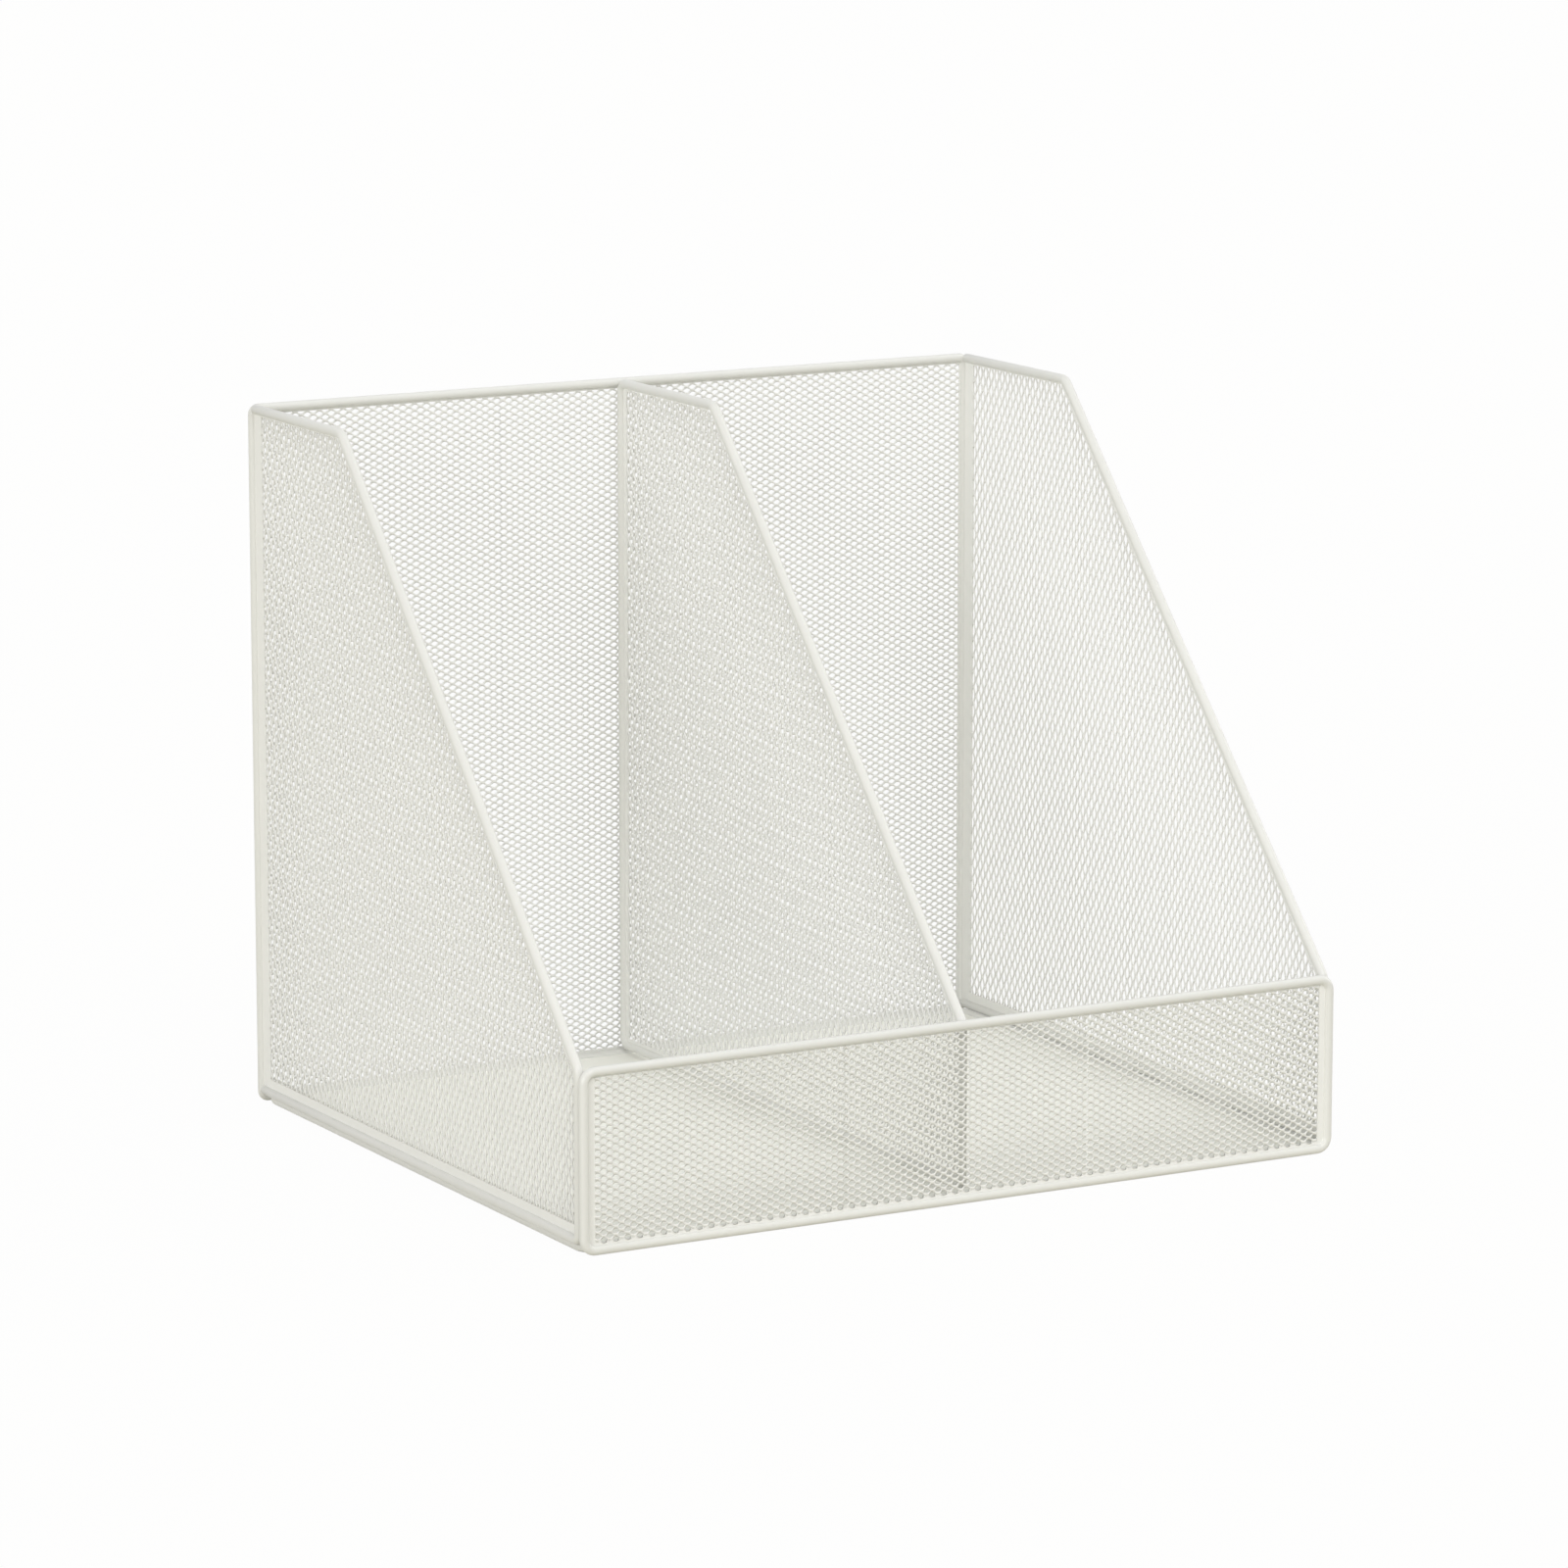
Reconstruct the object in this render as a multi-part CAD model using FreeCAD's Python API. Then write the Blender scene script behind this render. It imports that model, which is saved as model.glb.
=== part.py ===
"""Letter rack with two open bays, welded up from bent round rods, diamond mesh panels and a
plain base sheet.

Millimetres.  X runs to the right, Y to the back and Z up.  The origin is the middle of the
footprint, on the surface that the rack stands on.
"""
import FreeCAD
import Part
import math
import os

Vector = FreeCAD.Vector

# --- Driving dimensions ---------------------------------------------------------------------
# Rods are measured between their centre lines.
width = 310.0           # from the left side's rods to the right side's
depth = 266.0           # from the front loop to the back loop
back_height = 265.0     # from the back loop's bottom rod to its top rod
front_height = 64.0     # from the front loop's bottom rod to its top rod
top_run = 77.0          # the level top of a side, from the back loop to the first bend
left_bay = 155.0        # from the left side's rods to the divider's

rod = 3.6               # diameter of every rod, over its coat of paint
rod_flats = 12          # flats drawn round a rod, which keep its many bends light
weld_gap = 0.1          # between two surfaces that a weld joins
base_inset = 2.0        # the base loop's side rods lie this far inside the sides' planes

# Inside radii of the bends.
back_bend = 0.5         # corners of the back loop
front_bend = 2.4        # corners of the front loop
base_bend = 3.0         # corners of the base loop
brow_bend = 4.0         # between the level top and the slope of a side or the divider
chin_bend = 2.5         # between the slope and the short upright at the front
toe_bend = 0.8          # at the foot of that upright
heel_bend = 1.2         # back corners of the divider's loop

mesh_thickness = 0.8    # a mesh panel over its twisted strands
base_thickness = 0.6    # the plain base sheet
cell_long = 40.0        # one mesh cell along its long way, from knuckle to knuckle
cell_short = 24.0       # and along its short way
strand = 4.0            # width of the metal left between two cells
least_hole = 0.15       # share of a whole cell below which a cut cell stays filled

# Plain strips between a panel's edges and its mesh.  They are wide at an edge of the sheet that
# was never slit, and narrow where the mesh was sheared through and welded.
# Bottom, right, top and left:
back_strips = [1.0, 1.0, 1.0, 1.0]
front_strips = [1.0, 2.5, 1.0, 2.5]
# Bottom, back, top, slope and front:
side_strips = [3.4, 5.2, 1.0, 1.8, 1.0]
divider_strips = [1.0, 2.2, 1.0, 1.8, 1.0]

# --- Places that follow from them -----------------------------------------------------------
radius = rod / 2
beside = rod + weld_gap                 # between two rods that lie side by side
seat = radius + weld_gap                # from a rod's centre line to what is welded to it

left_x = -width / 2
right_x = width / 2
divider_x = left_x + left_bay
front_y = -depth / 2
back_y = depth / 2
upright_y = front_y + beside            # the uprights stand right behind the front loop
brow_y = back_y - top_run

floor_rod_z = radius                    # rods that lie on the surface below
back_top_z = floor_rod_z + back_height
front_top_z = floor_rod_z + front_height
side_foot_z = floor_rod_z + math.sqrt(beside ** 2 - base_inset ** 2)
divider_foot_z = floor_rod_z + beside   # its loop crosses over the base loop's rods

# The divider's rounded upper back corner is welded to the back loop's top rod.
heel_radius = heel_bend + radius
divider_back_y = back_y + heel_radius - math.sqrt((beside + heel_radius) ** 2 - heel_radius ** 2)


# --- Outlines -------------------------------------------------------------------------------
def unit(vector):
    return Vector(vector).normalize()


def corner_frame(points, index):
    """Directions from a corner to the corners before and after it, and to the inside of the
    turn, with half the angle between the first two."""
    corner = points[index]
    before = unit(points[index - 1] - corner)
    after = unit(points[(index + 1) % len(points)] - corner)
    return before, after, unit(before + after), before.getAngle(after) / 2


def rounded_line(points, radii, closed):
    """Straight runs through the points, with an arc of its own radius at each turn.  A closed
    line starts and ends in the middle of its last side."""
    if closed:
        here = end = (points[-1] + points[0]) / 2
        turns = range(len(points))
    else:
        here, end = points[0], points[-1]
        turns = range(1, len(points) - 1)
    edges = []
    for index in turns:
        corner = points[index]
        before, after, inward, half = corner_frame(points, index)
        reach = radii[index] / math.tan(half)
        start = corner + before * reach
        edges.append(Part.makeLine(here, start))
        here = corner + after * reach
        if radii[index] > 0:
            middle = corner + inward * (radii[index] / math.sin(half) - radii[index])
            edges.append(Part.Arc(start, middle, here).toShape())
    edges.append(Part.makeLine(here, end))
    return Part.Wire(edges)


def inset(points, radii, distance):
    """The closed outline that runs inside the given one at an even distance."""
    inner = []
    for index, corner in enumerate(points):
        _, _, inward, half = corner_frame(points, index)
        inner.append(corner + inward * (distance / math.sin(half)))
    return inner, [max(value - distance, 0.0) for value in radii]


def moved_in(points, distances):
    """The same corners with each side moved in by its own distance.  The first distance is for
    the side that ends at the first corner."""
    inner = []
    for index, corner in enumerate(points):
        before, after, _, half = corner_frame(points, index)
        next_distance = distances[(index + 1) % len(points)]
        shift = before * next_distance + after * distances[index]
        inner.append(corner + shift / math.sin(2 * half))
    return inner


# --- Rods -----------------------------------------------------------------------------------
def bent_rod(points, radii, closed=False):
    """A rod along a flat centre line, with an edge of its section on each side of that plane."""
    path = rounded_line(points, radii, closed)
    first = path.OrderedEdges[0]
    start = first.valueAt(first.FirstParameter)
    tangent = first.tangentAt(first.FirstParameter)
    spoke = unit((points[1] - points[0]).cross(points[2] - points[1])) * radius
    turn = FreeCAD.Rotation(tangent, 360 / rod_flats)
    section = []
    for _ in range(rod_flats):
        section.append(start + spoke)
        spoke = turn.multVec(spoke)
    outline = Part.makePolygon(section + section[:1])
    return path.makePipeShell([outline], True, False)


# --- Mesh panels ----------------------------------------------------------------------------
def clipped(cell, border, middle):
    """What a convex border leaves of a convex cell, given a point inside the border."""
    for index, end in enumerate(border):
        start = border[index - 1]
        along = unit(end - start)
        inward = middle - start - along * along.dot(middle - start)
        depths = [inward.dot(point - start) for point in cell]
        kept = []
        for step, point in enumerate(cell):
            last, here = depths[step - 1], depths[step]
            if last * here < 0:
                kept.append(cell[step - 1] + (point - cell[step - 1]) * (last / (last - here)))
            if here > 0:
                kept.append(point)
        cell = kept
    return cell


def area(polygon):
    total = Vector()
    for index in range(1, len(polygon) - 1):
        total += (polygon[index] - polygon[0]).cross(polygon[index + 1] - polygon[0])
    return total.Length / 2


def mesh_cells(border, long_way, short_way):
    """Closed wires round the diamond openings that fill the border, in staggered rows."""
    box = Part.makePolygon(border + border[:1]).BoundBox
    middle = box.Center
    cell_height = cell_long * cell_short / math.hypot(cell_long, cell_short)
    opening = 1 - strand / cell_height
    half_long = long_way * (cell_long / 2 * opening)
    half_short = short_way * (cell_short / 2 * opening)
    smallest = least_hole * 2 * half_long.Length * half_short.Length
    columns = math.ceil(box.DiagonalLength / 2 / cell_long) + 1
    rows = math.ceil(box.DiagonalLength / cell_short) + 1
    wires = []
    for row in range(-rows, rows + 1):
        for column in range(-columns, columns + 1):
            shift = (column + 0.5 * (row % 2)) * cell_long
            centre = middle + long_way * shift + short_way * (row * cell_short / 2)
            diamond = [centre + half_long, centre + half_short, centre - half_long,
                       centre - half_short]
            cell = clipped(diamond, border, middle)
            if len(cell) > 2 and area(cell) > smallest:
                wires.append(Part.makePolygon(cell + cell[:1]))
    return wires


def mesh_panel(points, radii, strips, long_way, short_way):
    """A flat panel inside a rod outline, in the plane of the rod's centre line."""
    edge, edge_radii = inset(points, radii, seat)
    border = moved_in(edge, strips)
    half = long_way.cross(short_way) * (mesh_thickness / 2)
    wires = [rounded_line(edge, edge_radii, True)] + mesh_cells(border, long_way, short_way)
    face = Part.makeFace(wires, "Part::FaceMakerBullseye")
    return face.translated(-half).extrude(half * 2)


# --- Sub-parts ------------------------------------------------------------------------------
x_way = Vector(1, 0, 0)
y_way = Vector(0, 1, 0)
z_way = Vector(0, 0, 1)


def upright_loop(y, top_z):
    """Corners of the front or the back loop, as far apart as the sides."""
    return [Vector(right_x, y, floor_rod_z), Vector(right_x, y, top_z),
            Vector(left_x, y, top_z), Vector(left_x, y, floor_rod_z)]


def floor_loop(half_width):
    """Corners of the base loop, which lies between the front and the back loop."""
    near, far = front_y + beside, back_y - beside
    return [Vector(half_width, near, floor_rod_z), Vector(half_width, far, floor_rod_z),
            Vector(-half_width, far, floor_rod_z), Vector(-half_width, near, floor_rod_z)]


def profile(x, heel_y, foot_z):
    """Corners of a side or the divider: back foot, back top, brow, chin and toe."""
    return [Vector(x, heel_y, foot_z), Vector(x, heel_y, back_top_z),
            Vector(x, brow_y, back_top_z), Vector(x, upright_y, front_top_z),
            Vector(x, upright_y, foot_z)]


def centre_radii(*inside):
    return [value + radius for value in inside]


back_loop = upright_loop(back_y, back_top_z)
back_radii = centre_radii(back_bend, back_bend, back_bend, back_bend)
front_loop = upright_loop(front_y, front_top_z)
front_radii = centre_radii(front_bend, front_bend, front_bend, front_bend)
base_loop = floor_loop(width / 2 - base_inset)
base_radii = centre_radii(base_bend, base_bend, base_bend, base_bend)
divider_loop = profile(divider_x, divider_back_y, divider_foot_z)
divider_radii = centre_radii(heel_bend, heel_bend, brow_bend, chin_bend, toe_bend)
side_radii = [0.0, 0.0] + centre_radii(brow_bend, chin_bend, toe_bend)


def side_frame(x):
    """A side's rod: from the back loop's top corner over the slope and round under the panel,
    with both ends butted against the back loop, which is the side's fourth edge."""
    corners = profile(x, back_y, side_foot_z)
    ends = [Vector(x, back_y - seat, back_top_z), Vector(x, back_y - seat, side_foot_z)]
    points = ends[:1] + corners[2:] + ends[1:]
    return bent_rod(points, [0.0] + side_radii[2:] + [0.0])


def side_mesh(x):
    return mesh_panel(profile(x, back_y, side_foot_z), side_radii, side_strips, z_way, y_way)


def base_sheet():
    """A plain sheet inside the base loop, in the plane of its centre line."""
    edge, edge_radii = inset(base_loop, base_radii, seat)
    half = z_way * (base_thickness / 2)
    return Part.Face(rounded_line(edge, edge_radii, True)).translated(-half).extrude(half * 2)


parts = {
    "back_frame": bent_rod(back_loop, back_radii, True),
    "back_mesh": mesh_panel(back_loop, back_radii, back_strips, x_way, z_way),
    "left_frame": side_frame(left_x),
    "left_mesh": side_mesh(left_x),
    "divider_frame": bent_rod(divider_loop, divider_radii, True),
    "divider_mesh": mesh_panel(divider_loop, divider_radii, divider_strips, z_way, y_way),
    "right_frame": side_frame(right_x),
    "right_mesh": side_mesh(right_x),
    "front_frame": bent_rod(front_loop, front_radii, True),
    "front_mesh": mesh_panel(front_loop, front_radii, front_strips, x_way, z_way),
    "base_frame": bent_rod(base_loop, base_radii, True),
    "base_sheet": base_sheet(),
}

os.makedirs("parts", exist_ok=True)
for name, shape in parts.items():
    shape.exportStep(f"parts/{name}.step")
    box = shape.BoundBox
    print(f"{name}: {len(shape.Solids)} solid, {shape.Volume:.0f} mm3, "
          f"{box.XLength:.1f} x {box.YLength:.1f} x {box.ZLength:.1f} mm")
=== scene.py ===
# %% [markdown]
# # A letter rack of bent rods and expanded mesh
#
# The real rack stands letters, papers and folders in two bays. It is made of two things only:
# round steel rods, bent into loops, and thin sheet that was slit and pulled open into a net of
# small openings. All of it is welded together and coated in one off-white powder.
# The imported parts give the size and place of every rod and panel. This lesson puts smooth rods
# and a true net where the plain parts are, and then adds the finish, the light and a camera.

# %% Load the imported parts
import bmesh
import bpy
import math
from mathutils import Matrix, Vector


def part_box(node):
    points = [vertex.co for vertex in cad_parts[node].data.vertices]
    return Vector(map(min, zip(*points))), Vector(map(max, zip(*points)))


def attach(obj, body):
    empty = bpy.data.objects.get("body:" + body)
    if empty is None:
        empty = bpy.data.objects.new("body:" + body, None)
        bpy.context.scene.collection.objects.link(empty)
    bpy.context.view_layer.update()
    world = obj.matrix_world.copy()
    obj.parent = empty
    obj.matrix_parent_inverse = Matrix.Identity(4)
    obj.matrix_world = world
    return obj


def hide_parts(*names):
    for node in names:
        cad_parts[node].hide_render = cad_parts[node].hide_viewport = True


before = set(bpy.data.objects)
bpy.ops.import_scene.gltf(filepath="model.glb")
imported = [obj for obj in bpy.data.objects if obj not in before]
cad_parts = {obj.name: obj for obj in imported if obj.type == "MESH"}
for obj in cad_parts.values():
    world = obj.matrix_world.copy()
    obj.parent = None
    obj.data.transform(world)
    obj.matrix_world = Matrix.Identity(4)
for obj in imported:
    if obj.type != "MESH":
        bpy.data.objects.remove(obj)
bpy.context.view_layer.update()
print("Loaded", len(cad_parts), "parts")

# %% [markdown]
# ## The rods' centre lines
#
# A bent rod is drawn best by the line through its middle, because every bend keeps its radius
# there. The box round a part is half a rod larger than that line, so taking half a rod off the
# box gives the line back. Only the bends' radii and the length of a side's level top can't be
# read off a box, so those are named here.

# %% Sizes of the rods
base_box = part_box("base_frame")
rod = base_box[1].z - base_box[0].z     # diameter, because the base loop lies flat
rod_radius = rod / 2
level_top = 0.077                       # from the back loop to the first bend of a side

# The radius of each bend's inside, and half a rod more to the rod's middle.
back_bend = 0.0005 + rod_radius
front_bend = 0.0024 + rod_radius
base_bend = 0.0030 + rod_radius
brow_bend = 0.0040 + rod_radius
chin_bend = 0.0025 + rod_radius
toe_bend = 0.0008 + rod_radius
heel_bend = 0.0012 + rod_radius


def middle_line(node):
    """Lowest and highest corner of a rod's centre line, from the box round its part."""
    low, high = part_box(node)
    half = Vector((rod_radius, rod_radius, rod_radius))
    return low + half, high - half


back_low, back_high = middle_line("back_frame")
front_low, front_high = middle_line("front_frame")
brow_y = back_low.y - level_top
print(f"Rods are {rod * 1000:.1f} mm thick, the back is {back_high.z * 1000:.0f} mm high")

# %% [markdown]
# ## Corners of each frame
#
# The back and the front are rectangles that stand up, the base is a rectangle that lies down,
# and the sides and the divider share one profile: a level top, a slope and a short upright.

# %% Lay out the corners


def standing_corners(low, high):
    """Round a loop that stands up across the rack: lower right, upper right and so on."""
    return [Vector((high.x, low.y, low.z)), Vector((high.x, low.y, high.z)),
            Vector((low.x, low.y, high.z)), Vector((low.x, low.y, low.z))]


def lying_corners(low, high):
    """Round a loop that lies flat."""
    return [Vector((high.x, low.y, low.z)), Vector((high.x, high.y, low.z)),
            Vector((low.x, high.y, low.z)), Vector((low.x, low.y, low.z))]


def profile_corners(node, heel_y):
    """Round a side or the divider: back foot, back top, brow, chin and toe."""
    low, high = middle_line(node)
    return [Vector((low.x, heel_y, low.z)), Vector((low.x, heel_y, high.z)),
            Vector((low.x, brow_y, high.z)), Vector((low.x, low.y, front_high.z)),
            Vector((low.x, low.y, low.z))]


back_corners = standing_corners(back_low, back_high)
front_corners = standing_corners(front_low, front_high)
base_corners = lying_corners(*middle_line("base_frame"))
left_corners = profile_corners("left_frame", back_low.y)
right_corners = profile_corners("right_frame", back_low.y)
divider_corners = profile_corners("divider_frame", middle_line("divider_frame")[1].y)
print("The slope of a side starts at", [round(v * 1000) for v in left_corners[2]], "mm")

# %% [markdown]
# ## Bending a rod
#
# A wire bender pushes a straight rod forward, bends it round a pin, and pushes it forward again.
# The same is done here: a ring of points is extruded along each straight, and spun round each
# corner. A curve with a bevel would be quicker, but it pinches the tight corners, while a spin
# keeps the rod round all the way. A closed loop starts in the middle of its last side, where
# its two ends meet and are merged. An open rod gets its two sheared ends, with the small
# rounding that a thick coat leaves on an edge.

# %% A tool that bends rods
rod_sides = 24          # round the rod
bend_step = 10.0        # degrees from ring to ring in a bend
sheared_edge = 0.0004   # rounding of a cut end
rounding_steps = 2      # flats across that rounding
merge_gap = 0.00001     # points closer than this become one
same_place = 1e-6       # places closer than this are the same
near_enough = 0.05      # how far off a picked edge may lie, as a share of its piece's size
rod_crease = 50         # degrees, past which an edge of a rod stays sharp


def deselect_all():
    """Leaves nothing selected, so that the next operator acts on its own piece alone."""
    bpy.ops.object.select_all(action="DESELECT")


def select_in_mesh(piece, kind, wanted):
    """In edit mode, selects only the vertices, edges or faces whose middle is wanted."""
    shape = bmesh.from_edit_mesh(piece.data)
    for element in list(shape.verts) + list(shape.edges) + list(shape.faces):
        element.select_set(False)
    for element in getattr(shape, kind):
        if kind == "verts":
            middle = element.co
        else:
            middle = sum((vertex.co for vertex in element.verts), Vector()) / len(element.verts)
        if wanted(middle):
            element.select_set(True)
    bmesh.update_edit_mesh(piece.data)


def bent_rod(name, corners, radii, ends=None):
    """A round rod along the corners. It closes on itself, unless it is given its two ends."""
    closed = ends is None
    if closed:
        start = finish = (corners[-1] + corners[0]) / 2
        stops = [corners[-1]] + corners + [corners[0]]
    else:
        start, finish = ends
        stops = [start] + corners + [finish]
    deselect_all()
    ahead = (corners[0] - start).normalized()
    bpy.ops.mesh.primitive_circle_add(
        vertices=rod_sides, radius=rod_radius, fill_type="NOTHING",
        location=start, rotation=ahead.to_track_quat("Z", "Y").to_euler())
    piece = bpy.context.object
    piece.name = name
    bpy.ops.object.transform_apply(location=True, rotation=True, scale=True)
    bpy.ops.object.mode_set(mode="EDIT")
    bpy.ops.mesh.select_all(action="SELECT")
    here = start
    for index, radius in enumerate(radii):
        corner = stops[index + 1]
        back = (stops[index] - corner).normalized()
        onward = (stops[index + 2] - corner).normalized()
        half = back.angle(onward) / 2
        bend_start = corner + back * (radius / math.tan(half))
        bpy.ops.mesh.extrude_region_move(
            TRANSFORM_OT_translate={"value": bend_start - here})
        turn = math.pi - 2 * half
        bpy.ops.mesh.spin(
            steps=max(2, round(math.degrees(turn) / bend_step)), angle=-turn,
            center=corner + (back + onward).normalized() * (radius / math.sin(half)),
            axis=(-back).cross(onward))
        here = corner + onward * (radius / math.tan(half))
    bpy.ops.mesh.extrude_region_move(TRANSFORM_OT_translate={"value": finish - here})
    bpy.ops.mesh.select_all(action="SELECT")
    bpy.ops.mesh.remove_doubles(threshold=merge_gap)
    if not closed:
        bpy.ops.mesh.fill_holes(sides=0)
        for end in ends:
            select_in_mesh(piece, "edges",
                           lambda middle: abs(middle.y - end.y) < same_place
                           and abs((middle - end).length - rod_radius)
                           < rod_radius * near_enough)
            bpy.ops.mesh.bevel(offset=sheared_edge, segments=rounding_steps, affect="EDGES")
    bpy.ops.mesh.select_all(action="SELECT")
    bpy.ops.mesh.normals_make_consistent(inside=False)
    bpy.ops.object.mode_set(mode="OBJECT")
    bpy.ops.object.shade_smooth_by_angle(angle=math.radians(rod_crease))
    print(name, "has", len(piece.data.polygons), "faces")
    return piece


# %% [markdown]
# ## The five kinds of frame
#
# The back, front, base and divider are closed loops. A side is one rod that starts at the top
# of the back loop, runs down the slope and returns under its panel to the foot of the back
# loop, so that the back loop's own upright is its fourth edge.

# %% Bend the frames


def side_rod(name, node, corners):
    """A side's open rod, butted against the back loop at both ends."""
    end_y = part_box(node)[1].y
    _, back_top, brow, chin, toe = corners
    ends = [Vector((brow.x, end_y, back_top.z)), Vector((toe.x, end_y, toe.z))]
    return bent_rod(name, [brow, chin, toe], [brow_bend, chin_bend, toe_bend], ends)


profile_bends = [heel_bend, heel_bend, brow_bend, chin_bend, toe_bend]
rods = {
    "back_frame": bent_rod("back_loop", back_corners, [back_bend] * 4),
    "front_frame": bent_rod("front_loop", front_corners, [front_bend] * 4),
    "base_frame": bent_rod("base_loop", base_corners, [base_bend] * 4),
    "divider_frame": bent_rod("divider_loop", divider_corners, profile_bends),
    "left_frame": side_rod("left_rod", "left_frame", left_corners),
    "right_frame": side_rod("right_rod", "right_frame", right_corners),
}

# %% [markdown]
# ## The plain border of a panel
#
# Expanded metal keeps an unslit strip along some of its edges, which is what the rods are welded
# to. It is wide where the sheet's own edge was, and next to nothing where the mesh was sheared
# through, so every edge of a panel has a width of its own.
# The border starts as a plane as large as the frame's centre lines. A side's corner is cut off
# with bisect along the slope, an inset marks the strip, and each inner corner is moved to where
# its two strips meet. Its outer edge ends a little inside the rods, as a welded edge does, so
# no light shows past it.
# All panels are made lying down, with the long way of the mesh along X, and stood up at the
# end. A panel's own flat corners are given as (long way, short way).

# %% A tool that cuts borders
weld_depth = 0.0004         # how far a sheet's edge reaches into its rods
sheet_thickness = 0.0005    # of the mesh panels' steel
first_width = 0.0001        # of the inset strip, before its corners move
cut_snap = 1e-7             # a point closer than this to a cut lies on it
sheet_crease = 30           # degrees, past which an edge of a sheet stays sharp


def flat_bounds(corners):
    """Lowest and highest corner of the flat box round an outline."""
    low = Vector((min(c.x for c in corners), min(c.y for c in corners), 0))
    high = Vector((max(c.x for c in corners), max(c.y for c in corners), 0))
    return low, high


def flat_sheet(name, corners):
    """A flat sheet that faces up. Its outline bulges outwards at every corner."""
    low, high = flat_bounds(corners)
    deselect_all()
    bpy.ops.mesh.primitive_plane_add(size=1, location=(low + high) / 2)
    piece = bpy.context.object
    piece.name = name
    piece.scale = (high.x - low.x, high.y - low.y, 1)
    bpy.ops.object.transform_apply(location=True, rotation=True, scale=True)
    bpy.ops.object.mode_set(mode="EDIT")
    trim_to(corners)
    bpy.ops.object.mode_set(mode="OBJECT")
    return piece


def trim_to(corners):
    """In edit mode, cuts away all that lies outside the corners."""
    middle = sum(corners, Vector()) / len(corners)
    for index, corner in enumerate(corners):
        along = (corner - corners[index - 1]).normalized()
        outward = Vector((along.y, -along.x, 0))
        if outward.dot(corner - middle) < 0:
            outward = -outward
        bpy.ops.mesh.select_all(action="SELECT")
        bpy.ops.mesh.bisect(plane_co=corner, plane_no=outward, clear_outer=True,
                            use_fill=False, threshold=cut_snap)


def moved_in(corners, distances):
    """The same outline with each side moved in by its own distance. The first distance is for
    the side that ends at the first corner."""
    inner = []
    for index, corner in enumerate(corners):
        back = (corners[index - 1] - corner).normalized()
        onward = (corners[(index + 1) % len(corners)] - corner).normalized()
        sine = back.cross(onward).length
        here = distances[index]
        after = distances[(index + 1) % len(corners)]
        inner.append(corner + back * (after / sine) + onward * (here / sine))
    return inner


def border(name, corners, strips):
    """The plain strip round a panel, from inside its rods to the mesh."""
    count = len(corners)
    outer = moved_in(corners, [rod_radius - weld_depth] * count)
    start = moved_in(corners, [rod_radius - weld_depth + first_width] * count)
    inner = moved_in(corners, [rod_radius + strip for strip in strips])
    piece = flat_sheet(name, outer)
    bpy.ops.object.mode_set(mode="EDIT")
    bpy.ops.mesh.select_all(action="SELECT")
    bpy.ops.mesh.inset(thickness=first_width, use_even_offset=True)
    bpy.ops.mesh.delete(type="FACE")
    for here, there in zip(start, inner):
        select_in_mesh(piece, "verts", lambda middle: (middle - here).length < first_width / 2)
        bpy.ops.transform.translate(value=there - here)
    bpy.ops.object.mode_set(mode="OBJECT")
    return piece


def thicken(piece, thickness):
    """Gives a flat sheet its thickness, half of it on either side."""
    wall = piece.modifiers.new("thickness", "SOLIDIFY")
    wall.thickness = thickness
    wall.offset = 0
    bpy.context.view_layer.objects.active = piece
    bpy.ops.object.modifier_apply(modifier=wall.name)


# %% [markdown]
# ## One knuckle and its strands
#
# A press slits the sheet in rows and pulls it open, so each uncut bit, the knuckle, leans over,
# and four thin strands lead from it to the next knuckles. Drawing thousands of those by hand
# would be hopeless, and a picture of a mesh would look flat from the side. The net is one
# small tile repeated: an eight-sided knuckle, tilted round its long way, with the two strands
# that run down from it. The strands end exactly on the edges of the next knuckles, so that
# copies of the tile close up into one net.

# %% A tool that makes the tile


def knuckle_tile(name, mesh):
    """A knuckle with two strands, and the same again half a cell along and below."""
    eighth = math.pi / 8
    flat_share = math.tan(eighth)                     # an octagon's flat over its width
    reach = mesh["long_cell"] / 2 - mesh["open_long"] / 2
    rise = mesh["short_cell"] / 2 - mesh["open_short"] / 2
    lean = math.radians(mesh["lean"])
    deselect_all()
    bpy.ops.mesh.primitive_circle_add(vertices=8, radius=1 / math.cos(eighth),
                                      fill_type="NGON", rotation=(0, 0, eighth))
    tile = bpy.context.object
    tile.name = name
    bpy.ops.object.transform_apply(location=False, rotation=True, scale=False)
    tile.scale = (reach, rise / math.cos(lean), 1)
    tile.rotation_euler.x = lean
    bpy.ops.object.transform_apply(location=False, rotation=True, scale=True)
    bpy.ops.object.mode_set(mode="EDIT")
    strand = Vector((mesh["long_cell"] / 2 - reach * (1 + flat_share),
                     (1 + flat_share) * rise - mesh["short_cell"] / 2,
                     (1 + flat_share) * rise * math.tan(lean)))
    for side in (1, -1):
        edge = Vector((side * reach * (1 + flat_share) / 2, -rise * (1 + flat_share) / 2, 0))
        select_in_mesh(tile, "edges",
                       lambda middle: (middle - edge).to_2d().length < rise * near_enough)
        bpy.ops.mesh.extrude_edges_move(
            TRANSFORM_OT_translate={"value": (side * strand.x, strand.y, strand.z)})
    bpy.ops.mesh.select_all(action="SELECT")
    bpy.ops.mesh.duplicate_move(TRANSFORM_OT_translate={
        "value": (mesh["long_cell"] / 2, -mesh["short_cell"] / 2, 0)})
    bpy.ops.object.mode_set(mode="OBJECT")
    return tile


# %% [markdown]
# ## The net of one panel
#
# Two Array modifiers repeat the tile along the long way and the short way. The copies are
# merged where they touch, trimmed along the border with bisect, and given their thickness.

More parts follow.
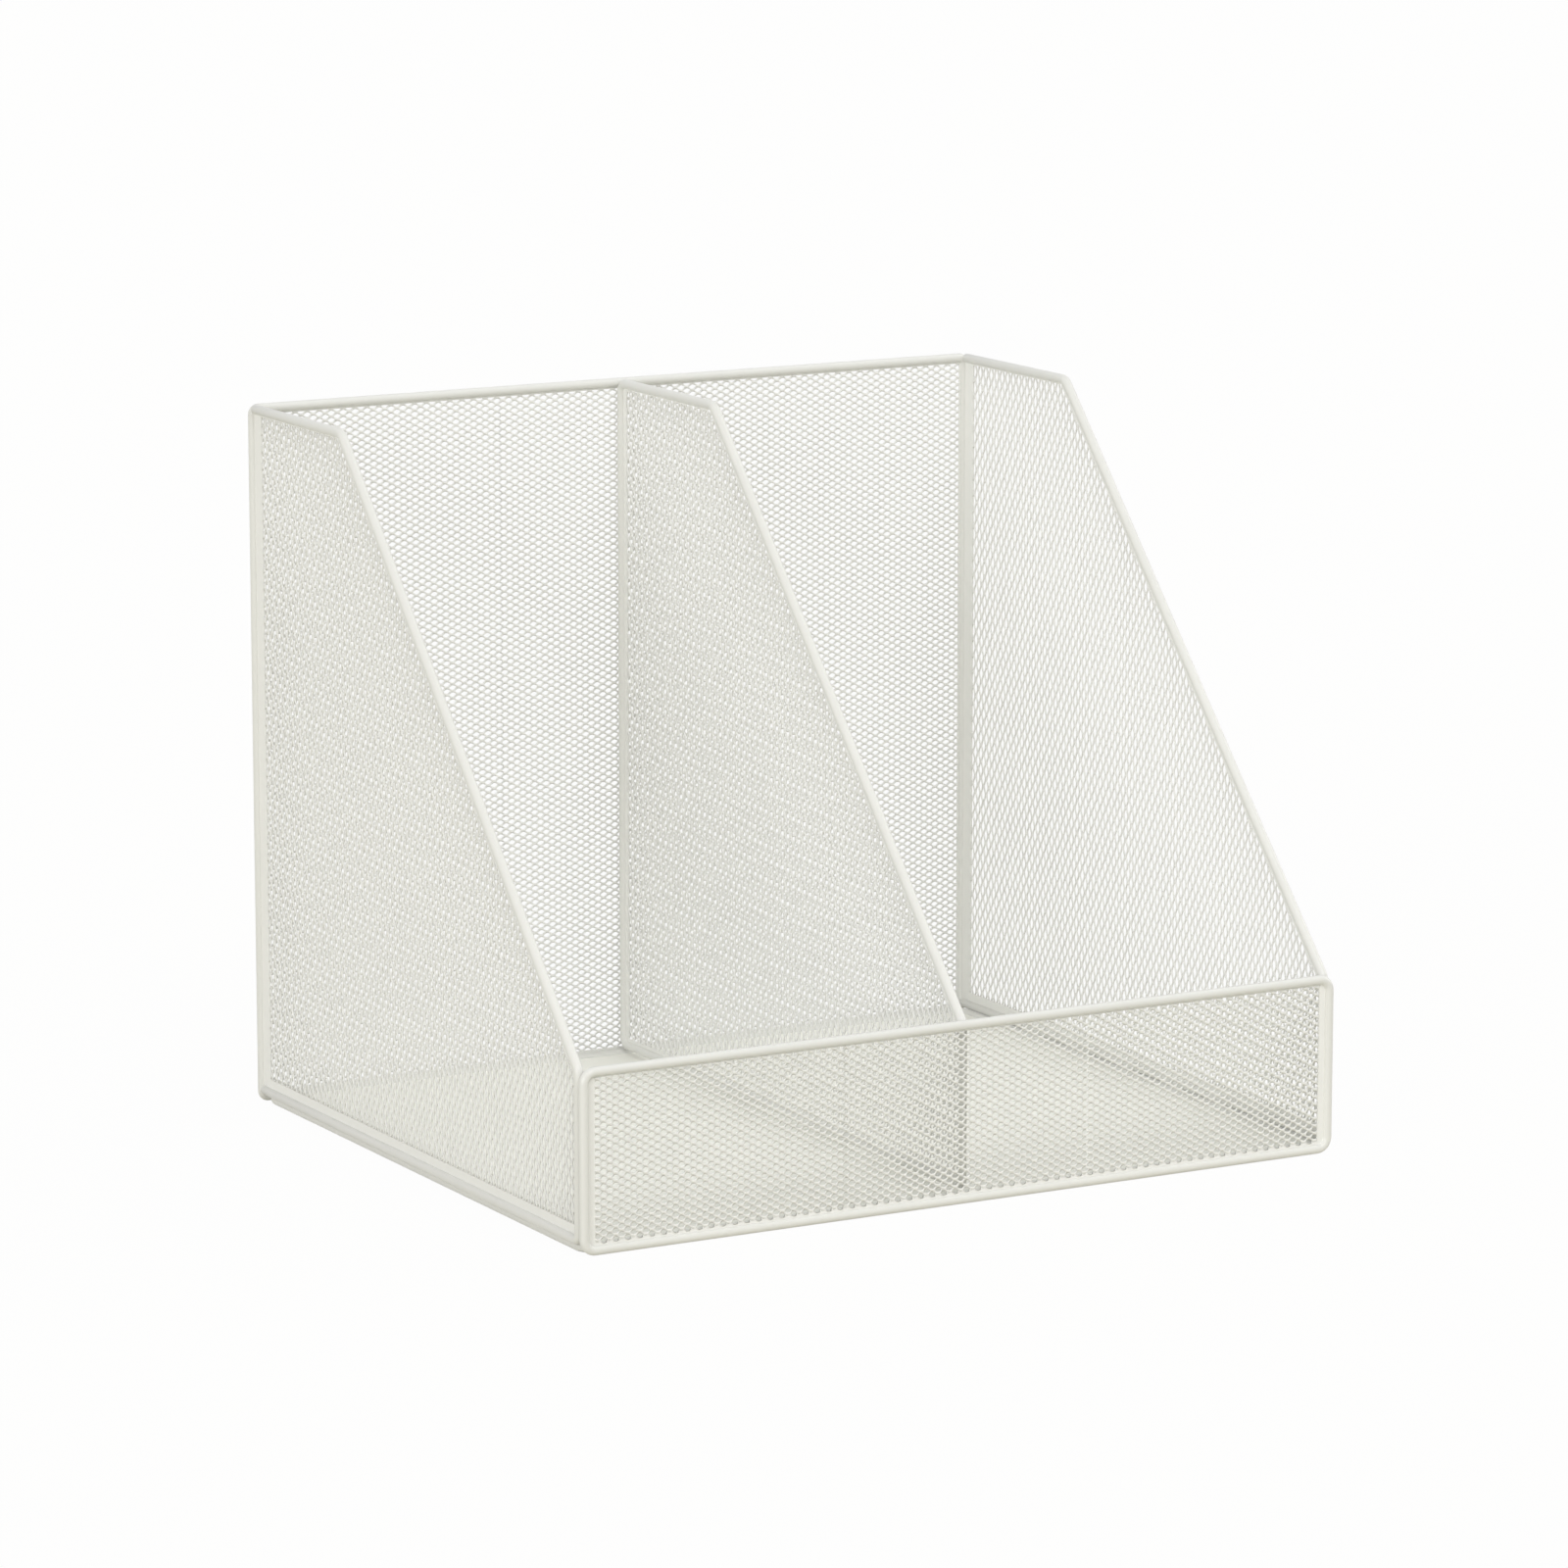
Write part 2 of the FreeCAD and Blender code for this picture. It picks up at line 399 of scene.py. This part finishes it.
# %% A tool that fills a panel
spare_cells = 1         # past each side of a panel, to be trimmed off


def repeat(piece, step, count):
    """Copies a piece in a row, every step."""
    row = piece.modifiers.new("row", "ARRAY")
    row.use_relative_offset = False
    row.use_constant_offset = True
    row.constant_offset_displace = step
    row.count = count
    bpy.context.view_layer.objects.active = piece
    bpy.ops.object.modifier_apply(modifier=row.name)


def net(name, corners, mesh, anchor):
    """Expanded mesh inside the corners. The anchor is the middle of one of its knuckles."""
    long_cell, short_cell = mesh["long_cell"], mesh["short_cell"]
    low, high = flat_bounds(corners)
    first_column = math.floor((low.x - anchor.x) / long_cell) - spare_cells
    last_row = math.ceil((high.y - anchor.y) / short_cell) + spare_cells
    piece = knuckle_tile(name, mesh)
    piece.location = (anchor.x + first_column * long_cell, anchor.y + last_row * short_cell, 0)
    bpy.ops.object.transform_apply(location=True, rotation=False, scale=False)
    columns = math.ceil((high.x - low.x) / long_cell) + 2 * spare_cells + 1
    rows = math.ceil((high.y - low.y) / short_cell) + 2 * spare_cells + 1
    repeat(piece, (long_cell, 0, 0), columns)
    repeat(piece, (0, -short_cell, 0), rows)
    bpy.ops.object.mode_set(mode="EDIT")
    bpy.ops.mesh.select_all(action="SELECT")
    bpy.ops.mesh.remove_doubles(threshold=merge_gap)
    trim_to(corners)
    bpy.ops.object.mode_set(mode="OBJECT")
    thicken(piece, sheet_thickness)
    return piece


# %% [markdown]
# ## Sizes of the mesh
#
# The long way of the mesh runs across the back and the front, and up the sides and the
# divider. The cells of the sides are a little larger. The openings' sizes set how much light
# comes through, and the lean is how many degrees the knuckles are turned out of the sheet.

# %% Sizes of the cells
back_mesh = {"long_cell": 0.0050, "short_cell": 0.00274, "open_long": 0.0031,
             "open_short": 0.00175, "lean": 22}
front_mesh = {"long_cell": 0.00475, "short_cell": 0.00276, "open_long": 0.0029,
              "open_short": 0.00152, "lean": 33}
side_mesh = {"long_cell": 0.0065, "short_cell": 0.0042, "open_long": 0.0050,
             "open_short": 0.0030, "lean": 10}

# Plain strips that show inside the rods. Round the back and the front: bottom, right, top, left.
back_strips = [0.0004, 0.0004, 0.0005, 0.0004]
front_strips = [0.0009, 0.0026, 0.0003, 0.0024]
# Round a side or the divider: bottom, back, top, slope and front.
side_strips = [0.0033, 0.0062, 0.0004, 0.0018, 0.0004]
divider_strips = [0.0010, 0.0022, 0.0003, 0.0016, 0.0004]
print(f"Cells are {back_mesh['long_cell'] * 1000:.2f} mm long on the back, "
      f"{front_mesh['long_cell'] * 1000:.2f} on the front and "
      f"{side_mesh['long_cell'] * 1000:.2f} on the sides and the divider")

# %% [markdown]
# ## Standing the panels up
#
# A panel across the rack turns a quarter round X, so that its short way points up. A side turns
# round Y instead, so that its long way points up. The turn and the place are then applied, so
# that each piece keeps its place in its mesh.

# %% Make the five mesh panels
border_overlap = 0.0002     # the net runs this far under the plain strip
widest_net = 0.11           # a wider net is split, to keep each piece light
panels = {}


def across(corners):
    """A panel's corners as they lie flat, for the back and the front."""
    return [Vector((c.x, c.z, 0)) for c in corners]


def along(corners):
    """A panel's corners as they lie flat, for the sides and the divider."""
    return [Vector((c.z, c.y, 0)) for c in corners]


def stand_across(piece, y):
    """Stands a piece of the back or the front up."""
    piece.rotation_euler = (math.pi / 2, 0, 0)
    piece.location = (0, y, 0)


def stand_along(piece, x):
    """Stands a piece of a side or the divider up."""
    piece.rotation_euler = (0, -math.pi / 2, 0)
    piece.location = (x, 0, 0)


def finish_panel(node, pieces, stand, place):
    """Stands a panel's pieces up and applies their places."""
    for piece in pieces:
        deselect_all()
        piece.select_set(True)
        bpy.context.view_layer.objects.active = piece
        stand(piece, place)
        bpy.ops.object.transform_apply(location=True, rotation=True, scale=True)
    panels[node] = pieces
    print(node, "has", sum(len(p.data.polygons) for p in pieces), "faces in",
          len(pieces), "pieces")


def equal_parts(opening):
    """A wide rectangle in equal parts, side by side. Any other outline stays whole."""
    low, high = flat_bounds(opening)
    parts = math.ceil((high.x - low.x) / widest_net)
    if parts == 1 or len(opening) != 4:
        return [opening]
    cuts = [low.x + (high.x - low.x) * index / parts for index in range(parts + 1)]
    return [[Vector((left, low.y, 0)), Vector((right, low.y, 0)),
             Vector((right, high.y, 0)), Vector((left, high.y, 0))]
            for left, right in zip(cuts, cuts[1:])]


def panel(node, corners, mesh, strips, stand, place):
    """A border and its net."""
    edge = border(node + "_border", corners, strips)
    thicken(edge, sheet_thickness)
    deselect_all()
    edge.select_set(True)
    bpy.ops.object.shade_smooth_by_angle(angle=math.radians(sheet_crease))
    opening = moved_in(corners, [rod_radius + strip - border_overlap for strip in strips])
    anchor = sum(opening, Vector()) / len(opening)
    pieces = [edge]
    for index, outline in enumerate(equal_parts(opening)):
        part = net(f"{node}_net_{index + 1}", outline, mesh, anchor)
        deselect_all()
        part.select_set(True)
        bpy.ops.object.shade_smooth()
        pieces.append(part)
    finish_panel(node, pieces, stand, place)


panel("back_mesh", across(back_corners), back_mesh, back_strips, stand_across, back_low.y)
panel("front_mesh", across(front_corners), front_mesh, front_strips, stand_across, front_low.y)
for node, corners, strips in (("left_mesh", left_corners, side_strips),
                              ("divider_mesh", divider_corners, divider_strips),
                              ("right_mesh", right_corners, side_strips)):
    panel(node, along(corners), side_mesh, strips, stand_along, corners[0].x)

# %% [markdown]
# ## The base sheet
#
# The base is one plain sheet inside its own loop. It is the border tool's flat sheet with
# nothing cut out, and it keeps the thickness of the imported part.

# %% Cut the base sheet
sheet_low, sheet_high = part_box("base_sheet")
sheet = flat_sheet("base_plate", moved_in([Vector((c.x, c.y, 0)) for c in base_corners],
                                          [rod_radius - weld_depth] * 4))
thicken(sheet, sheet_high.z - sheet_low.z)
sheet.location.z = (sheet_low.z + sheet_high.z) / 2
bpy.ops.object.transform_apply(location=True, rotation=False, scale=False)
bpy.ops.object.shade_smooth_by_angle(angle=math.radians(sheet_crease))
panels["base_sheet"] = [sheet]
print("The base sheet is", round((sheet_high.z - sheet_low.z) * 1000, 2), "mm thick")

# %% [markdown]
# ## Powder coat
#
# Powder is sprayed on dry and melted in an oven. It flows into a thick satin skin with a faint
# orange peel, a little uneven in its gloss, and its off-white leans to a warm grey-green. It is
# one powder, and the mesh shows its own white. The rods get a deeper white as painted shade, and
# the base sheet a lighter white as painted light, because under these few lamps that comes
# closest to how the real rack looks.
# Two noise patterns on Object coordinates do it: a wide one for the colour and the gloss, and a
# fine one for the peel. Object coordinates are metres here, so the scales are waves per metre.

# %% Mix the powder coat
resin_ior = 1.5             # how strongly the coat's resin bends light
cloud_scale = 22
cloud_detail = 3
peel_detail = 2
darkest_share = 0.975       # of the coat's own white
lightest_share = 1.02
gloss_swing = 0.05          # of the roughness, either way


def noise_pattern(nodes, links, scale, detail):
    """Noise that is fixed to the piece."""
    place = nodes.new("ShaderNodeTexCoord")
    noise = nodes.new("ShaderNodeTexNoise")
    noise.inputs["Scale"].default_value = scale
    noise.inputs["Detail"].default_value = detail
    links.new(place.outputs["Object"], noise.inputs["Vector"])
    return noise.outputs["Fac"]


def powder_coat(name, colour, roughness, peel_scale, peel_depth):
    """A satin powder coat with uneven colour and gloss and a fine orange peel."""
    material = bpy.data.materials.new(name)
    material.use_nodes = True
    nodes = material.node_tree.nodes
    links = material.node_tree.links
    shader = nodes["Principled BSDF"]
    shader.inputs["IOR"].default_value = resin_ior

    cloud = noise_pattern(nodes, links, cloud_scale, cloud_detail)
    tint = nodes.new("ShaderNodeMix")
    tint.data_type = "RGBA"
    tint.inputs["A"].default_value = (*(c * darkest_share for c in colour), 1)
    tint.inputs["B"].default_value = (*(min(c * lightest_share, 1) for c in colour), 1)
    links.new(cloud, tint.inputs["Factor"])
    links.new(tint.outputs["Result"], shader.inputs["Base Color"])
    gloss = nodes.new("ShaderNodeMapRange")
    gloss.inputs["To Min"].default_value = roughness - gloss_swing
    gloss.inputs["To Max"].default_value = roughness + gloss_swing
    links.new(cloud, gloss.inputs["Value"])
    links.new(gloss.outputs["Result"], shader.inputs["Roughness"])

    bump = nodes.new("ShaderNodeBump")
    bump.inputs["Strength"].default_value = 1
    bump.inputs["Distance"].default_value = peel_depth
    links.new(noise_pattern(nodes, links, peel_scale, peel_detail), bump.inputs["Height"])
    links.new(bump.outputs["Normal"], shader.inputs["Normal"])
    return material


# The rods' deeper white is painted shade and the base sheet's lighter white is painted light;
# the mesh white is the powder's own.
rod_white_painted_shade = (0.72, 0.72, 0.685)
mesh_white = (0.835, 0.835, 0.805)
sheet_white_painted_light = (0.92, 0.92, 0.86)
rod_coat_painted_shade = powder_coat("rod_powder_coat_painted_shade", rod_white_painted_shade, roughness=0.32,
                       peel_scale=900, peel_depth=0.00002)
mesh_coat = powder_coat("mesh_powder_coat", mesh_white, roughness=0.42,
                        peel_scale=1400, peel_depth=0.00001)
sheet_coat_painted_light = powder_coat("sheet_powder_coat_painted_light", sheet_white_painted_light, roughness=0.45,
                         peel_scale=700, peel_depth=0.00002)
print("Mixed", rod_coat_painted_shade.name, mesh_coat.name, "and", sheet_coat_painted_light.name)

# %% [markdown]
# ## Putting the pieces on the rack
#
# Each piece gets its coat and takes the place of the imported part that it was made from. All of
# the rack is welded together, so every piece rides on one body.

# %% Coat the pieces and put them on the rack


def fit(piece, node, coat):
    """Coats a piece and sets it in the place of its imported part."""
    piece.data.materials.clear()
    piece.data.materials.append(coat)
    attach(piece, "root")
    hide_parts(node)


for node, piece in rods.items():
    fit(piece, node, rod_coat_painted_shade)
for node, pieces in panels.items():
    for piece in pieces:
        if node == "base_sheet":
            fit(piece, node, sheet_coat_painted_light)
        else:
            fit(piece, node, mesh_coat)
print("Fitted", len(rods) + sum(len(p) for p in panels.values()), "pieces")

# %% [markdown]
# ## Floor
#
# A studio shows such a rack on white. A floor that is only painted white comes out light grey,
# so the camera and shiny surfaces are shown plain white instead, with a small part of the
# floor's true shading, which keeps the rack's soft shadow on it. All other light meets the
# floor itself, a warm grey that gives the lower parts their warmer tone.

# %% Floor
floor_width = 30                        # metres, so that its edge is never seen
floor_grey = (0.63, 0.605, 0.49, 1)
floor_roughness = 0.9
floor_whiteness = 0.97                  # share of plain white in what the camera sees
plain_white = (1, 1, 1, 1)


def white_for_camera(tree, true_shader, white_kind, share, output):
    """Shows plain white to the camera and to shiny surfaces, and the true shader to the rest."""
    nodes = tree.nodes
    links = tree.links
    ray = nodes.new("ShaderNodeLightPath")
    seen = nodes.new("ShaderNodeMath")
    seen.operation = "ADD"
    links.new(ray.outputs["Is Camera Ray"], seen.inputs[0])
    links.new(ray.outputs["Is Glossy Ray"], seen.inputs[1])
    seen_through = nodes.new("ShaderNodeMath")
    seen_through.operation = "ADD"
    seen_through.use_clamp = True
    links.new(seen.outputs["Value"], seen_through.inputs[0])
    links.new(ray.outputs["Is Transmission Ray"], seen_through.inputs[1])
    part = nodes.new("ShaderNodeMath")
    part.operation = "MULTIPLY"
    part.inputs[1].default_value = share
    links.new(seen_through.outputs["Value"], part.inputs[0])
    white = nodes.new(white_kind)
    white.inputs["Color"].default_value = plain_white
    white.inputs["Strength"].default_value = 1
    mix = nodes.new("ShaderNodeMixShader")
    links.new(part.outputs["Value"], mix.inputs["Fac"])
    links.new(true_shader.outputs[0], mix.inputs[1])
    links.new(white.outputs[0], mix.inputs[2])
    links.new(mix.outputs[0], nodes[output].inputs["Surface"])


deselect_all()
bpy.ops.mesh.primitive_plane_add(size=floor_width)
floor = bpy.context.object
floor.name = "floor"
floor_paint = bpy.data.materials.new("floor_paint")
floor_paint.use_nodes = True
floor_shader = floor_paint.node_tree.nodes["Principled BSDF"]
floor_shader.inputs["Base Color"].default_value = floor_grey
floor_shader.inputs["Roughness"].default_value = floor_roughness
white_for_camera(floor_paint.node_tree, floor_shader, "ShaderNodeEmission",
                 floor_whiteness, "Material Output")
floor.data.materials.append(floor_paint)
print("The floor is", floor_width, "m wide")

# %% [markdown]
# ## Light
#
# Thin rods and leaning strands only stand out where one side of them is lighter than the other,
# so the strongest lamps stand to the left and high in front, two weaker ones light the right,
# and the sky fills the inside of the bays. Suns do this best, because they reach every part
# alike, and the width of each sets how soft its shadows are.

# %% Sky and lamps
sky_strength = 0.45
lamp_distance = 2       # only keeps the lamps off the rack: a sun is as bright from anywhere
world = bpy.data.worlds.new("studio")
bpy.context.scene.world = world
world.use_nodes = True
sky = world.node_tree.nodes["Background"]
sky.inputs["Color"].default_value = plain_white
sky.inputs["Strength"].default_value = sky_strength
white_for_camera(world.node_tree, sky, "ShaderNodeBackground", 1, "World Output")


def soft_light(name, comes_from, width, strength):
    """A distant soft light, as many degrees wide as it looks from the rack."""
    bpy.ops.object.light_add(type="SUN", location=Vector(comes_from) * lamp_distance)
    lamp = bpy.context.object
    lamp.name = name
    lamp.data.angle = math.radians(width)
    lamp.data.energy = strength
    lamp.rotation_euler = (-Vector(comes_from)).to_track_quat("-Z", "Y").to_euler()


soft_light("overhead_light", comes_from=(0.0, -0.7, 0.8), width=30, strength=1.1)
soft_light("high_right_light", comes_from=(0.7, 0.0, 0.8), width=30, strength=0.3)
soft_light("right_light", comes_from=(1.0, -0.1, 0.4), width=25, strength=0.65)
soft_light("left_light", comes_from=(-0.95, -0.5, 0.32), width=30, strength=1.25)

# %% [markdown]
# ## Camera
#
# The camera stands well back to the left of the front and looks slightly down, through a long
# lens, which keeps upright rods nearly parallel.

# %% Camera
camera_place = (-1.2164, -2.1765, 0.6100)
looks_down = 10.87          # degrees below level
turned_right = 29.18        # degrees from straight at the front
focal_length = 156.285      # millimetres, as the sensor's width
sensor_width = 36

bpy.ops.object.camera_add(
    location=camera_place,
    rotation=(math.radians(90 - looks_down), 0, math.radians(-turned_right)))
camera = bpy.context.object
camera.data.lens = focal_length
camera.data.sensor_width = sensor_width
bpy.context.scene.camera = camera
bpy.context.scene.view_settings.view_transform = "Standard"
print("The camera is", round(camera.location.length, 2), "m from the rack")
